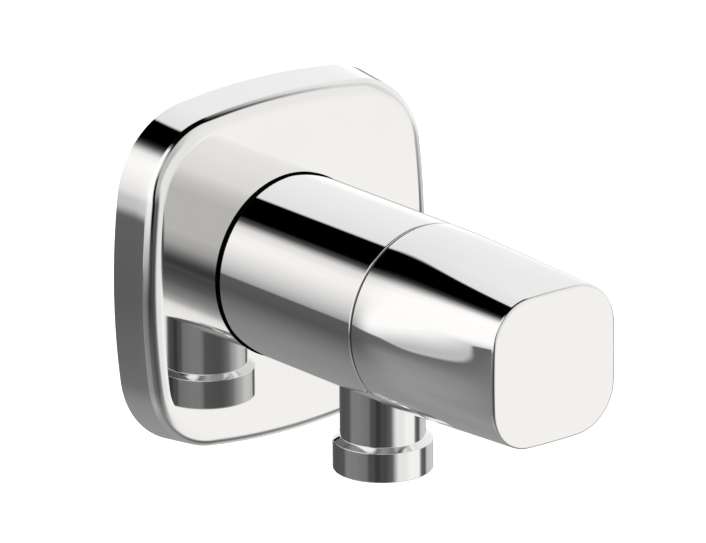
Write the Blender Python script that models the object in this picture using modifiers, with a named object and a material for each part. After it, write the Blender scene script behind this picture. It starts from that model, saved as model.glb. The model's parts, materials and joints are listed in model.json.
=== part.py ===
"""Angle stop valve: quarter-turn ceramic valve with a soft-square escutcheon.

World frame: the finished wall is the plane y = 0, the valve points out of it along -Y,
+Z is up, and the origin is where the valve's axis meets the wall.
Turned pieces are drawn in (radius, distance) outlines.  The distance is measured out of
the wall for everything on the valve's axis, and down from that axis for the outlet.
"""
import math

import bmesh
import bpy
from mathutils import Vector

MM = 0.001
GAP = 0.3                      # clearance left between neighbouring pieces

# Driving dimensions, in millimetres
BODY_RADIUS = 15.65            # outside of the chromed sleeve and of the handle's round end
SLEEVE_START = 2.5
SLEEVE_END = 43.3
SLEEVE_WALL = 1.2
CHAMFER = 0.35

PLATE_HALF_REAR = 30.4         # soft square at the wall
PLATE_HALF_FRONT = 29.64       # soft square where the front edge starts to round over
PLATE_DEPTH = 8.9
PLATE_WALL = 1.2
PLATE_EDGE = 2.4
PLATE_RIM = 0.4                # straight part of the side wall, so that its rim is flat
PLATE_BULGE = 120.0            # radius of the slightly crowned sides
PLATE_CORNER = 14.4

HANDLE_START = 43.7
HANDLE_END = 76.0
HANDLE_ROUND_TO = 47.6         # the handle stays round up to here
HANDLE_HALF = 12.83
HANDLE_BULGE = 155.0
HANDLE_CORNER = 7.93
HANDLE_EDGE = 0.45
HANDLE_SOCKET_HALF = 7.95

OUTLET_OFFSET = 32.43          # distance of the outlet's axis from the wall
NECK_RADIUS = 7.09
COLLAR_RADIUS = 8.3
COLLAR_TOP = 23.84
SHOULDER = 0.64                # height of the slope from the neck to the collar
OUTLET_END = 28.95
TUBE_BORE = 5.1                # takes a 10 mm copper tube
TUBE_STOP = 17.0

THREAD_MAJOR = 10.4775         # G 1/2, 14 turns to the inch
THREAD_MINOR = 9.3155
THREAD_PITCH = 1.8143
THREAD_TURNS = 6
INLET_END = -17.0
INLET_BORE = 6.5

BODY_CORE_RADIUS = 14.1
BODY_FRONT = 41.6
SOCKET_FLOOR = 17.5
SOCKET_RADIUS = 9.1
SEAT_RADIUS = 5.0

STEM_RADIUS = 4.5
STEM_BORE = 4.8
STEM_GROOVES = (39.0, 46.2)    # middles of the two O-ring grooves
SPLINE_TIP = 4.0
SPLINE_ROOT = 3.55
SPLINE_TEETH = 20
SCREW_PLACE = 61.5             # distance of the grub screw's axis from the wall

FINE = 40                      # facets round the outside pieces
COARSE = 24                    # facets round the pieces inside


def clear_scene():
    for thing in list(bpy.data.objects):
        bpy.data.objects.remove(thing, do_unlink=True)


def make_collection(name):
    group = bpy.data.collections.new(name)
    bpy.context.scene.collection.children.link(group)
    return group


def make_material(name, colour, roughness, metallic):
    finish = bpy.data.materials.new(name)
    finish.use_nodes = True
    shader = finish.node_tree.nodes["Principled BSDF"]
    shader.inputs["Base Color"].default_value = (*colour, 1.0)
    shader.inputs["Roughness"].default_value = roughness
    shader.inputs["Metallic"].default_value = metallic
    return finish


clear_scene()
PARTS = make_collection("angle_stop_valve")
CUTTERS = make_collection("cutters")

CHROME = ("chrome", (0.86, 0.86, 0.85), 0.04, 1.0)
BRASS = ("brass", (0.78, 0.58, 0.30), 0.28, 1.0)
RUBBER = ("black_rubber", (0.02, 0.02, 0.02), 0.55, 0.0)
CERAMIC = ("alumina_ceramic", (0.90, 0.89, 0.85), 0.25, 0.0)
BLACK_PLASTIC = ("black_plastic", (0.03, 0.03, 0.03), 0.40, 0.0)
WHITE_PLASTIC = ("white_plastic", (0.85, 0.85, 0.83), 0.40, 0.0)
FOAM = ("grey_foam", (0.35, 0.35, 0.36), 0.90, 0.0)
STEEL = ("stainless_steel", (0.62, 0.62, 0.63), 0.30, 1.0)


def make_axis(name, location, rotation, parent=None):
    """Empty that carries the pieces of one axis."""
    axis = bpy.data.objects.new(name, None)
    axis.parent = parent
    axis.location = location
    axis.rotation_euler = rotation
    PARTS.objects.link(axis)
    return axis


# Local +Z of these empties points out of the wall, or down for the outlet.
VALVE_AXIS = make_axis("valve_axis", (0, 0, 0), (math.pi / 2, 0, 0))
HANDLE_AXIS = make_axis("handle_axis", (0, 0, 0), (0, 0, 0), VALVE_AXIS)
ESCUTCHEON_SLIDE = make_axis("escutcheon_slide", (0, 0, 0), (0, 0, 0), VALVE_AXIS)
OUTLET_AXIS = make_axis("outlet_axis", (0, -OUTLET_OFFSET * MM, 0), (math.pi, 0, 0))


def add_piece(name, mesh, parent, finish):
    piece = bpy.data.objects.new(name, mesh)
    piece.parent = parent
    if finish is None:
        CUTTERS.objects.link(piece)
        piece.hide_render = True
        piece.display_type = "WIRE"
        return piece
    PARTS.objects.link(piece)
    shared = bpy.data.materials.get(finish[0])
    piece.data.materials.append(shared or make_material(*finish))
    return piece


def freeze(piece):
    """Replace the piece's mesh by what its modifiers make of it, with smooth round faces."""
    depsgraph = bpy.context.evaluated_depsgraph_get()
    result = bpy.data.meshes.new_from_object(piece.evaluated_get(depsgraph))
    piece.modifiers.clear()
    piece.data = result
    result.name = piece.name
    result.shade_smooth()
    result.set_sharp_from_angle(angle=math.radians(35))
    return piece


def turned(name, outline, parent, finish, facets=COARSE):
    """Revolve a (radius, distance) outline that runs down its outer side, then back up inside.

    An outline that starts on the axis is a solid of revolution; any other is a ring.
    """
    points = [(radius * MM, 0, along * MM) for radius, along in outline]
    count = len(points)
    solid = outline[0][0] == 0
    edges = [(i, (i + 1) % count) for i in range(count - 1 if solid else count)]
    mesh = bpy.data.meshes.new(name)
    mesh.from_pydata(points, edges, [])
    piece = add_piece(name, mesh, parent, finish)
    turn = piece.modifiers.new("turn", "SCREW")
    turn.axis = "Z"
    turn.steps = facets
    turn.render_steps = facets
    turn.use_merge_vertices = True
    turn.merge_threshold = 0.00001
    return freeze(piece)


def o_ring(name, middle, along, section, parent, facets=COARSE):
    """Round-section ring about the local Z axis."""
    steps = 8
    turns = [-2 * math.pi * step / steps for step in range(steps)]
    outline = [(middle + section * math.cos(a), along + section * math.sin(a)) for a in turns]
    return turned(name, outline, parent, RUBBER, facets)


def prism(name, points, low, high, parent, finish):
    """Extrude a flat outline, given counter-clockwise in millimetres, from low to high."""
    shape = bmesh.new()
    ring = [shape.verts.new((x * MM, y * MM, low * MM)) for x, y in points]
    floor = shape.faces.new(ring)
    made = bmesh.ops.extrude_face_region(shape, geom=[floor])
    lifted = [item for item in made["geom"] if isinstance(item, bmesh.types.BMVert)]
    bmesh.ops.translate(shape, verts=lifted, vec=Vector((0, 0, (high - low) * MM)))
    bmesh.ops.recalc_face_normals(shape, faces=shape.faces)
    mesh = bpy.data.meshes.new(name)
    shape.to_mesh(mesh)
    shape.free()
    return add_piece(name, mesh, parent, finish)


def block(name, size, middle, parent, finish=None):
    """Box of the given size in millimetres about its middle."""
    shape = bmesh.new()
    bmesh.ops.create_cube(shape, size=1.0)
    bmesh.ops.scale(shape, verts=shape.verts, vec=Vector(size) * MM)
    bmesh.ops.translate(shape, verts=shape.verts, vec=Vector(middle) * MM)
    mesh = bpy.data.meshes.new(name)
    shape.to_mesh(mesh)
    shape.free()
    return add_piece(name, mesh, parent, finish)


def cross_drill(name, radius, along, near, far, facets=FINE):
    """Cutter for a hole drilled upwards into the valve's underside, from far to near."""
    circle = [(radius * math.cos(2 * math.pi * i / facets), radius * math.sin(2 * math.pi * i / facets))
              for i in range(facets)]
    drill = prism(name, circle, near, far, VALVE_AXIS, None)
    drill.location = (0, 0, along * MM)
    drill.rotation_euler = (math.pi / 2, 0, 0)
    return drill


def combine(piece, tool, operation):
    change = piece.modifiers.new(tool.name, "BOOLEAN")
    change.operation = operation
    change.solver = "EXACT"
    change.object = tool
    return piece


def circle_points(radius, facets):
    return [(radius * math.cos(2 * math.pi * i / facets), radius * math.sin(2 * math.pi * i / facets))
            for i in range(facets)]


def sector_points(inner, outer, middle, half_width, facets=8):
    """Outline of a ring sector about the angle middle, angles in degrees."""
    angles = [math.radians(middle - half_width + 2 * half_width * i / facets) for i in range(facets + 1)]
    far_side = [(outer * math.cos(a), outer * math.sin(a)) for a in angles]
    near_side = [(inner * math.cos(a), inner * math.sin(a)) for a in reversed(angles)]
    return far_side + near_side


def soft_square(half, bulge, corner, side_steps=4, corner_steps=7):
    """Square with sides of radius bulge and corners of radius corner, half being its half width."""
    side_centre = bulge - half
    reach = bulge - corner
    corner_centre = (-side_centre + math.sqrt(2 * reach * reach - side_centre * side_centre)) / 2
    turn = math.atan2(corner_centre, corner_centre + side_centre)
    quarter = []
    for step in range(side_steps):
        angle = -turn + 2 * turn * step / side_steps
        quarter.append((bulge * math.cos(angle) - side_centre, bulge * math.sin(angle)))
    for step in range(corner_steps):
        angle = turn + (math.pi / 2 - 2 * turn) * step / corner_steps
        quarter.append((corner_centre + corner * math.cos(angle), corner_centre + corner * math.sin(angle)))
    points = []
    for side in range(4):
        c, s = math.cos(side * math.pi / 2), math.sin(side * math.pi / 2)
        points += [(x * c - y * s, x * s + y * c) for x, y in quarter]
    return points


def toothed_points(tip, root, teeth):
    """Flat-topped teeth round the axis, as on a valve spindle."""
    points = []
    for tooth in range(teeth):
        for share, radius in ((0.0, root), (0.3, tip), (0.6, tip), (0.9, root)):
            angle = 2 * math.pi * (tooth + share) / teeth
            points.append((radius * math.cos(angle), radius * math.sin(angle)))
    return points


def thread_ridge(low):
    """Whitworth ridge of the inlet thread: a closed strip wound up round the spigot."""
    root = THREAD_MINOR - 0.4
    section = [(THREAD_MAJOR, 0.2), (THREAD_MAJOR, -0.2), (root, -0.82), (root, 0.82)]
    points = [(radius * MM, 0, (low + along) * MM) for radius, along in section]
    edges = [(i, (i + 1) % len(points)) for i in range(len(points))]
    mesh = bpy.data.meshes.new("thread_ridge")
    mesh.from_pydata(points, edges, [])
    ridge = add_piece("thread_ridge", mesh, VALVE_AXIS, None)
    wind = ridge.modifiers.new("wind", "SCREW")
    wind.axis = "Z"
    wind.screw_offset = THREAD_PITCH * MM
    wind.iterations = THREAD_TURNS
    wind.steps = COARSE
    wind.render_steps = COARSE
    freeze(ridge)
    shape = bmesh.new()
    shape.from_mesh(ridge.data)
    bmesh.ops.holes_fill(shape, edges=[edge for edge in shape.edges if edge.is_boundary])
    bmesh.ops.recalc_face_normals(shape, faces=shape.faces)
    shape.to_mesh(ridge.data)
    shape.free()
    return ridge


def make_valve_body():
    """Brass body: inlet spigot, spanner flats, barrel, seat and headwork socket."""
    thread_room = THREAD_MAJOR + GAP
    outline = [
        (BODY_CORE_RADIUS - 0.3, BODY_FRONT), (BODY_CORE_RADIUS, BODY_FRONT - 0.3),
        (BODY_CORE_RADIUS, 5.5), (13.0, 5.5), (13.0, 0.5), (THREAD_MINOR, 0.5),
        (THREAD_MINOR, INLET_END + 0.8), (THREAD_MINOR - 0.8, INLET_END),
        (INLET_BORE, INLET_END), (INLET_BORE, 14.0), (SEAT_RADIUS, 14.0),
        (SEAT_RADIUS, SOCKET_FLOOR), (SOCKET_RADIUS, SOCKET_FLOOR), (SOCKET_RADIUS, 35.5),
        (thread_room, 35.5), (thread_room, BODY_FRONT),
    ]
    body = turned("valve_body", outline, VALVE_AXIS, BRASS, FINE)
    combine(body, thread_ridge(INLET_END + 1.9), "UNION")
    for side in (-1, 1):
        flat = block(f"spanner_flat_{side}", (4.0, 30.0, 4.7), (side * 13.5, 0, 2.65), VALVE_AXIS)
        combine(body, flat, "DIFFERENCE")
    combine(body, cross_drill("outlet_port", 6.7, OUTLET_OFFSET, 7.0, 18.0, COARSE), "DIFFERENCE")


def make_inlet_seal():
    outline = [(11.2, 0.2), (11.9, -0.5), (11.2, -3.0), (THREAD_MINOR + 0.3, -3.2),
               (THREAD_MINOR + 0.3, 0.2)]
    turned("inlet_sealing_ring", outline, VALVE_AXIS, WHITE_PLASTIC)


def make_sleeve():
    inner = BODY_RADIUS - SLEEVE_WALL
    outline = [(BODY_RADIUS - CHAMFER, SLEEVE_END), (BODY_RADIUS, SLEEVE_END - CHAMFER),
               (BODY_RADIUS, SLEEVE_START + CHAMFER), (BODY_RADIUS - CHAMFER, SLEEVE_START),
               (inner, SLEEVE_START), (inner, SLEEVE_END)]
    sleeve = turned("body_sleeve", outline, VALVE_AXIS, CHROME, 56)
    port = cross_drill("neck_port", NECK_RADIUS + GAP, OUTLET_OFFSET, 8.0, 20.0)
    combine(sleeve, port, "DIFFERENCE")


def make_bearing_ring():
    """Black ring in the sleeve's mouth that centres the handle and fills the joint."""
    outline = [(14.15, 43.9), (14.15, BODY_FRONT + GAP), (13.0, BODY_FRONT + GAP), (13.0, 43.9)]
    turned("handle_bearing_ring", outline, VALVE_AXIS, BLACK_PLASTIC, FINE)


def make_outlet():
    """Outlet nipple, screwed into the body from below through the sleeve, and its O-ring."""
    shoulder = BODY_CORE_RADIUS + GAP
    outline = [
        (COLLAR_RADIUS - 0.25, OUTLET_END), (COLLAR_RADIUS, OUTLET_END - 0.25),
        (COLLAR_RADIUS, COLLAR_TOP), (NECK_RADIUS, COLLAR_TOP - SHOULDER), (NECK_RADIUS, shoulder),
        (5.4, shoulder), (5.4, 12.6), (6.4, 12.6), (6.4, 11.3), (4.2, 11.3),
        (4.2, TUBE_STOP), (TUBE_BORE, TUBE_STOP), (TUBE_BORE, OUTLET_END),
    ]
    turned("outlet_nipple", outline, OUTLET_AXIS, CHROME, FINE)
    o_ring("outlet_o_ring", 6.05, 13.4, 0.45, OUTLET_AXIS, 24)


def make_headwork_housing():
    """Brass headwork: windowed chamber, G 1/2 thread, flange, hexagon and stem bearing."""
    outline = [
        (6.6, 54.0), (7.0, 53.6), (7.0, 45.2), (12.2, 45.2), (12.5, 44.9), (12.5, 43.2),
        (9.8, 43.2), (9.8, 41.2), (THREAD_MAJOR, 41.2), (THREAD_MAJOR, 36.4), (9.8, 35.8),
        (8.8, 35.8), (8.8, 18.2), (7.5, 18.2), (7.5, 34.0), (STEM_BORE, 34.0), (STEM_BORE, 54.0),
    ]
    housing = turned("headwork_housing", outline, VALVE_AXIS, BRASS)
    hexagon_ring = prism("headwork_hexagon", circle_points(10.97, 6), 44.4, 50.5, VALVE_AXIS, None)
    bore = prism("hexagon_bore", circle_points(5.9, COARSE), 44.0, 51.0, VALVE_AXIS, None)
    combine(hexagon_ring, bore, "DIFFERENCE")
    combine(housing, hexagon_ring, "UNION")
    for number, size in enumerate(((22.0, 7.0, 6.2), (7.0, 22.0, 6.2))):
        window = block(f"window_{number}", size, (0, 0, 29.9), VALVE_AXIS)
        combine(housing, window, "DIFFERENCE")


def make_headwork_seals():
    turned("headwork_gasket", [(12.4, 42.9), (12.4, 41.9), (10.6, 41.9), (10.6, 42.9)],
           VALVE_AXIS, RUBBER)
    turned("seat_gasket", [(7.2, 19.2), (7.2, 17.8), (5.6, 17.8), (5.6, 19.2)],
           VALVE_AXIS, RUBBER)
    turned("thrust_washer", [(7.1, 33.7), (7.1, 33.0), (4.9, 33.0), (4.9, 33.7)],
           VALVE_AXIS, WHITE_PLASTIC)


def ceramic_disc(name, radius, low, high, parent, window_angle):
    """Ceramic disc with two opposite windows that a quarter turn opens or closes."""
    disc = prism(name, circle_points(radius, COARSE), low, high, parent, CERAMIC)
    for number in range(2):
        points = sector_points(1.9, 5.7, window_angle + 180 * number, 38)
        window = prism(f"{name}_window_{number}", points, low - 1, high + 1, parent, None)
        combine(disc, window, "DIFFERENCE")
    return disc


def make_discs():
    ceramic_disc("ceramic_disc_fixed", 7.2, 19.5, 22.5, VALVE_AXIS, 90)
    disc = ceramic_disc("ceramic_disc_moving", 6.9, 22.8, 25.8, HANDLE_AXIS, 0)
    slot = block("drive_slot", (3.6, 16.0, 3.0), (0, 0, 25.9), HANDLE_AXIS)
    combine(disc, slot, "DIFFERENCE")


def make_spindle():
    """Stem with the tongue that turns the disc, two O-ring grooves, clip groove and spline."""
    outline = [(0, 60.0), (3.2, 60.0), (3.2, 56.0), (4.2, 56.0), (4.2, 55.4), (3.3, 55.4),
               (3.3, 54.4), (STEM_RADIUS, 54.4)]
    for middle in sorted(STEM_GROOVES, reverse=True):
        outline += [(STEM_RADIUS, middle + 1), (3.4, middle + 1), (3.4, middle - 1),
                    (STEM_RADIUS, middle - 1)]
    outline += [(STEM_RADIUS, 32.7), (6.4, 32.7), (6.4, 31.0), (3.2, 31.0), (3.2, 27.2), (0, 27.2)]
    spindle = turned("spindle", outline, HANDLE_AXIS, BRASS)
    tongue = block("drive_tongue", (3.0, 12.0, 2.9), (0, 0, 26.25), HANDLE_AXIS)
    teeth = toothed_points(SPLINE_TIP, SPLINE_ROOT, SPLINE_TEETH)
    spline = prism("spindle_spline", teeth, 55.8, 65.0, HANDLE_AXIS, None)
    combine(spindle, tongue, "UNION")
    combine(spindle, spline, "UNION")
    for number, middle in enumerate(STEM_GROOVES, 1):
        o_ring(f"spindle_o_ring_{number}", 4.1, middle, 0.5, HANDLE_AXIS, 24)
    clip = sector_points(3.6, 5.6, 90, 150, 20)
    prism("spindle_circlip", clip, 54.6, 55.2, HANDLE_AXIS, STEEL)


def handle_sections():
    """Rings of points from the round rear end of the handle to its soft-square end face."""
    square = soft_square(HANDLE_HALF, HANDLE_BULGE, HANDLE_CORNER, 4, 7)
    small = soft_square(HANDLE_HALF - HANDLE_EDGE, HANDLE_BULGE, HANDLE_CORNER - HANDLE_EDGE, 4, 7)
    angles = [math.atan2(y, x) for x, y in square]

    def ring(radius):
        return [(radius * math.cos(a), radius * math.sin(a)) for a in angles]

    sections = [(HANDLE_START, ring(BODY_RADIUS - CHAMFER)),
                (HANDLE_START + CHAMFER, ring(BODY_RADIUS)),
                (HANDLE_ROUND_TO, ring(BODY_RADIUS))]
    steps = 6
    last = HANDLE_END - HANDLE_EDGE
    for step in range(1, steps + 1):
        share = step / steps
        mixed = [(cx + (sx - cx) * share, cy + (sy - cy) * share)
                 for (cx, cy), (sx, sy) in zip(ring(BODY_RADIUS), square)]
        sections.append((HANDLE_ROUND_TO + (last - HANDLE_ROUND_TO) * share, mixed))
    sections.append((HANDLE_END, small))
    return sections


def loft(name, sections, parent, finish):
    """Closed solid through rings of equally many points, with flat ends."""
    shape = bmesh.new()
    rings = [[shape.verts.new((x * MM, y * MM, along * MM)) for x, y in points]
             for along, points in sections]
    for low, high in zip(rings, rings[1:]):
        count = len(low)
        for i in range(count):
            j = (i + 1) % count
            shape.faces.new((low[i], low[j], high[j], high[i]))
    shape.faces.new(list(reversed(rings[0])))
    shape.faces.new(rings[-1])
    mesh = bpy.data.meshes.new(name)
    shape.to_mesh(mesh)
    shape.free()
    mesh.shade_smooth()
    mesh.set_sharp_from_angle(angle=math.radians(35))
    return add_piece(name, mesh, parent, finish)


def make_handle():
    """Handle shell, the plastic insert that sits on the spline, and the grub screw."""
    shell = loft("handle_shell", handle_sections(), HANDLE_AXIS, CHROME)
    mouth = prism("handle_mouth", circle_points(14.45, FINE), 40.0, 45.2, HANDLE_AXIS, None)
    room = prism("handle_room", circle_points(13.3, FINE), 44.0, 56.2, HANDLE_AXIS, None)
    socket_outline = soft_square(HANDLE_SOCKET_HALF, 80.0, 2.2, 1, 3)
    socket = prism("handle_socket", socket_outline, 55.0, 69.2, HANDLE_AXIS, None)
    screw_hole = cross_drill("screw_hole", 2.3, SCREW_PLACE, 3.0, 18.0, 20)
    for cutter in (mouth, room, socket, screw_hole):
        combine(shell, cutter, "DIFFERENCE")

    insert_outline = soft_square(HANDLE_SOCKET_HALF - GAP, 80.0, 2.0, 1, 3)
    insert = prism("handle_insert", insert_outline, 56.6, 68.8, HANDLE_AXIS, WHITE_PLASTIC)
    spline_room = toothed_points(SPLINE_TIP + GAP, SPLINE_ROOT + GAP, SPLINE_TEETH)
    bore = prism("insert_bore", spline_room, 55.0, 66.0, HANDLE_AXIS, None)
    combine(insert, bore, "DIFFERENCE")
    combine(insert, screw_hole, "DIFFERENCE")

    screw = prism("handle_grub_screw", circle_points(2.0, 20), 4.5, 12.4, HANDLE_AXIS, STEEL)
    screw.location = (0, 0, SCREW_PLACE * MM)
    screw.rotation_euler = (math.pi / 2, 0, 0)
    key = prism("grub_screw_key", circle_points(1.16, 6), 10.4, 14.0, HANDLE_AXIS, None)
    key.location = screw.location
    key.rotation_euler = screw.rotation_euler
    combine(screw, key, "DIFFERENCE")


def make_escutcheon():
    """Pressed escutcheon shell with a rounded front edge and a hole for the sleeve."""
    shape = bmesh.new()
    front = soft_square(PLATE_HALF_FRONT, PLATE_BULGE, PLATE_CORNER)
    ring = [shape.verts.new((x * MM, y * MM, PLATE_DEPTH * MM)) for x, y in front]
    face = shape.faces.new(ring)
    made = bmesh.ops.extrude_edge_only(shape, edges=face.edges[:])
    flared = [item for item in made["geom"] if isinstance(item, bmesh.types.BMVert)]
    flared_edges = [item for item in made["geom"] if isinstance(item, bmesh.types.BMEdge)
                    and item.verts[0] in flared and item.verts[1] in flared]
    flare = PLATE_HALF_REAR / PLATE_HALF_FRONT
    bmesh.ops.scale(shape, verts=flared, vec=(flare, flare, 1))
    bmesh.ops.translate(shape, verts=flared, vec=(0, 0, (PLATE_RIM - PLATE_DEPTH) * MM))
    made = bmesh.ops.extrude_edge_only(shape, edges=flared_edges)
    rim = [item for item in made["geom"] if isinstance(item, bmesh.types.BMVert)]
    bmesh.ops.translate(shape, verts=rim, vec=(0, 0, -PLATE_RIM * MM))
    bmesh.ops.bevel(shape, geom=face.edges[:], offset=PLATE_EDGE * MM, offset_type="OFFSET",
                    segments=3, profile=0.5, affect="EDGES")
    bmesh.ops.recalc_face_normals(shape, faces=shape.faces)
    mesh = bpy.data.meshes.new("escutcheon_plate")
    shape.to_mesh(mesh)
    shape.free()
    plate = add_piece("escutcheon_plate", mesh, ESCUTCHEON_SLIDE, CHROME)
    wall = plate.modifiers.new("wall", "SOLIDIFY")
    wall.thickness = PLATE_WALL * MM
    wall.offset = -1
    wall.use_even_offset = True
    hole = prism("sleeve_hole", circle_points(BODY_RADIUS + 1.2, FINE), 4.0, 12.0,
                 ESCUTCHEON_SLIDE, None)
    combine(plate, hole, "DIFFERENCE")


def make_escutcheon_seals():
    """Lip seal round the sleeve in the escutcheon's hole, and the foam frame behind it."""
    inner = BODY_RADIUS + GAP
    back = PLATE_DEPTH - PLATE_WALL - GAP
    outline = [(inner + 0.5, PLATE_DEPTH + 0.65), (inner + 0.6, back), (18.2, back),
               (18.2, back - 0.8), (inner, back - 0.8), (inner, PLATE_DEPTH + 0.65)]
    turned("escutcheon_lip_seal", outline, ESCUTCHEON_SLIDE, RUBBER, FINE)

    outer = soft_square(PLATE_HALF_REAR - PLATE_WALL - 0.5, PLATE_BULGE, PLATE_CORNER - 1.5, 2, 4)
    inner_edge = soft_square(PLATE_HALF_REAR - 5.0, PLATE_BULGE, PLATE_CORNER - 4.5, 2, 4)
    gasket = prism("wall_gasket", outer, 0.1, 2.1, ESCUTCHEON_SLIDE, FOAM)
    opening = prism("gasket_opening", inner_edge, -1.0, 4.0, ESCUTCHEON_SLIDE, None)
    combine(gasket, opening, "DIFFERENCE")


make_valve_body()
make_inlet_seal()
make_sleeve()
make_bearing_ring()
make_outlet()
make_headwork_housing()
make_headwork_seals()
make_discs()
make_spindle()
make_handle()
make_escutcheon()
make_escutcheon_seals()
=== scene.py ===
"""Looks of the chromed angle stop valve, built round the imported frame.

The wall is the plane y = 0, and the valve's axis runs straight out of it through x = z = 0.  "Along" is a
distance from the wall on that axis.  Sizes are in millimetres, which skin() and drilled() turn into metres.
"""

import json
import math

import bmesh
import bpy
import numpy as np
from mathutils import Matrix, Vector
from mathutils.bvhtree import BVHTree


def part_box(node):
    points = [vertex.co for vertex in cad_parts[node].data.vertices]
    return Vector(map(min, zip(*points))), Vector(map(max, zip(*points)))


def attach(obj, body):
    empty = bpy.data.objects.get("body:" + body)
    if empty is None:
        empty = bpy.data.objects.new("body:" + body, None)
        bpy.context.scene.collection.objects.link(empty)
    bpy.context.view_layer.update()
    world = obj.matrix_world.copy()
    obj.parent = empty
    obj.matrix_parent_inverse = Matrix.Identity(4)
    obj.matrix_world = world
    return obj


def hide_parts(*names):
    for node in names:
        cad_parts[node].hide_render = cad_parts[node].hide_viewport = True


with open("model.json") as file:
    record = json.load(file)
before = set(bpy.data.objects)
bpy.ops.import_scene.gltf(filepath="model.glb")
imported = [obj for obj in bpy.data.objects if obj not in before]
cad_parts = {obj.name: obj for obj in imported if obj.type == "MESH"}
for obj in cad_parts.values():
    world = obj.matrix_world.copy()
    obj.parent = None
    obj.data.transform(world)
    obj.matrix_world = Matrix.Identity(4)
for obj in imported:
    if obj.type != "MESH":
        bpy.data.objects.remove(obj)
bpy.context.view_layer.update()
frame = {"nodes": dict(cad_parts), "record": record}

MM = 0.001
TAU = 2 * math.pi


# ---------------------------------------------------------------- sizes
def distances(node):
    """Nearest and furthest distance of a node from the wall."""
    low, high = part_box(node)
    return -high.y / MM, -low.y / MM


def half_width(node):
    low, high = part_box(node)
    return (high.x - low.x) / 2 / MM


# Barrel sleeve.
BODY_RADIUS = half_width("body_sleeve")
SLEEVE_START, SLEEVE_END = distances("body_sleeve")
SLEEVE_WALL = 1.2
SLEEVE_CHAMFER = 0.35          # at its end by the wall
SLEEVE_EDGE = 0.30             # fillet at its end by the handle
SLEEVE_RINGS = (12.0, 34.0)    # rings of points on either side of the outlet's hole

# Escutcheon.
PLATE_DEPTH = distances("escutcheon_plate")[1]
PLATE_HALF_REAR = half_width("escutcheon_plate")
PLATE_DRAFT = 0.76             # how far the side wall flares towards the wall
PLATE_HALF_FRONT = PLATE_HALF_REAR - PLATE_DRAFT
PLATE_WALL = 1.2
PLATE_BULGE = 120.0            # radius of the crowned sides
PLATE_CORNER = 14.4
PLATE_EDGE_DEPTH = 2.2         # the front edge is a quarter of an ellipse
PLATE_EDGE_WIDTH = 2.75
PLATE_HOLE_GAP = 0.12
PLATE_LEAN = 0.35              # share of the draft that the side wall's normals follow

# Handle.
HANDLE_START, HANDLE_END = distances("handle_shell")
HANDLE_HALF = 12.83
HANDLE_BULGE = 155.0
HANDLE_CORNER = 7.93
HANDLE_EDGE = 0.58             # rounding round the end face
HANDLE_EASE = 0.5              # share of the length over which the taper sets in
HANDLE_LIP = 0.03              # bevel at the joint
JOINT_ROOM = 0.08              # added to the joint, so that it shows as a dark line

# Outlet, whose axis points down.
COLLAR_RADIUS = half_width("outlet_nipple")
COLLAR_TOP = 23.84
COLLAR_SLOPE = 0.64
NECK_RADIUS = 7.09
OUTLET_OFFSET = -(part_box("outlet_nipple")[0].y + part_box("outlet_nipple")[1].y) / 2 / MM
OUTLET_END = -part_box("outlet_nipple")[0].z / MM

# Brass body with its G 1/2 inlet thread.
BRASS_RADIUS = 14.1
BRASS_END = 41.6
THREAD_MAJOR = 10.4775
THREAD_MINOR = 9.3155
THREAD_PITCH = 1.8143
THREAD_RUN_OUT = -4.6
INLET_END = -17.0
SPANNER_HALF = 11.5

SCREW_PLACE = 61.5             # grub screw's distance from the wall

ROUND = 192                    # facets round the turned pieces
SMALL_ROUND = 96


# ---------------------------------------------------------------- mesh helpers
def out_of_wall(across, up, along):
    """Metres about the valve's axis to world metres."""
    return np.stack([across, -along, up], -1)


def down_outlet(across, forward, below):
    """Metres about the outlet's axis to world metres."""
    return np.stack([across, -OUTLET_OFFSET * MM - forward, -below], -1)


def down_screw(across, forward, below):
    """Metres about the grub screw's axis to world metres."""
    return np.stack([across, -SCREW_PLACE * MM - forward, -below], -1)


class Row:
    """One ring of points, with the normals that the faces before and after it use there."""

    def __init__(self, points, before, after=None):
        self.points = points
        self.before = before
        self.after = before if after is None else after


def turned_over(rows):
    """The same rows from last to first, which turns over the faces between them."""
    for row in rows:
        row.before, row.after = row.after, row.before
    return rows[::-1]


def skin(name, rows, place, loop=False, capped=False):
    """Mesh through the rows, with exact normals.

    loop joins the last row to the first, and capped closes both ends instead.
    """
    count = len(rows[0].points)
    faces, normals = [], []
    spans = len(rows) if loop else len(rows) - 1
    for first in range(spans):
        second = (first + 1) % len(rows)
        start, end = first * count, second * count
        from_normals, to_normals = rows[first].after, rows[second].before
        for a in range(count):
            b = (a + 1) % count
            faces.append((start + a, start + b, end + b, end + a))
            normals += [from_normals[a], from_normals[b], to_normals[b], to_normals[a]]
    if capped:
        faces.append(tuple(reversed(range(count))))
        normals += list(rows[0].before[::-1])
        last = (len(rows) - 1) * count
        faces.append(tuple(range(last, last + count)))
        normals += list(rows[-1].after)
    points = np.concatenate([row.points for row in rows]) * MM
    origin = place(np.zeros(1), np.zeros(1), np.zeros(1))
    mesh = bpy.data.meshes.new(name)
    mesh.from_pydata(place(*points.T).tolist(), [], faces)
    mesh.shade_smooth()
    mesh.normals_split_custom_set((place(*np.array(normals).T) - origin).tolist())
    return linked(name, mesh)


def linked(name, data):
    """New object for the data, in the scene."""
    made = bpy.data.objects.new(name, data)
    bpy.context.scene.collection.objects.link(made)
    return made


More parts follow.
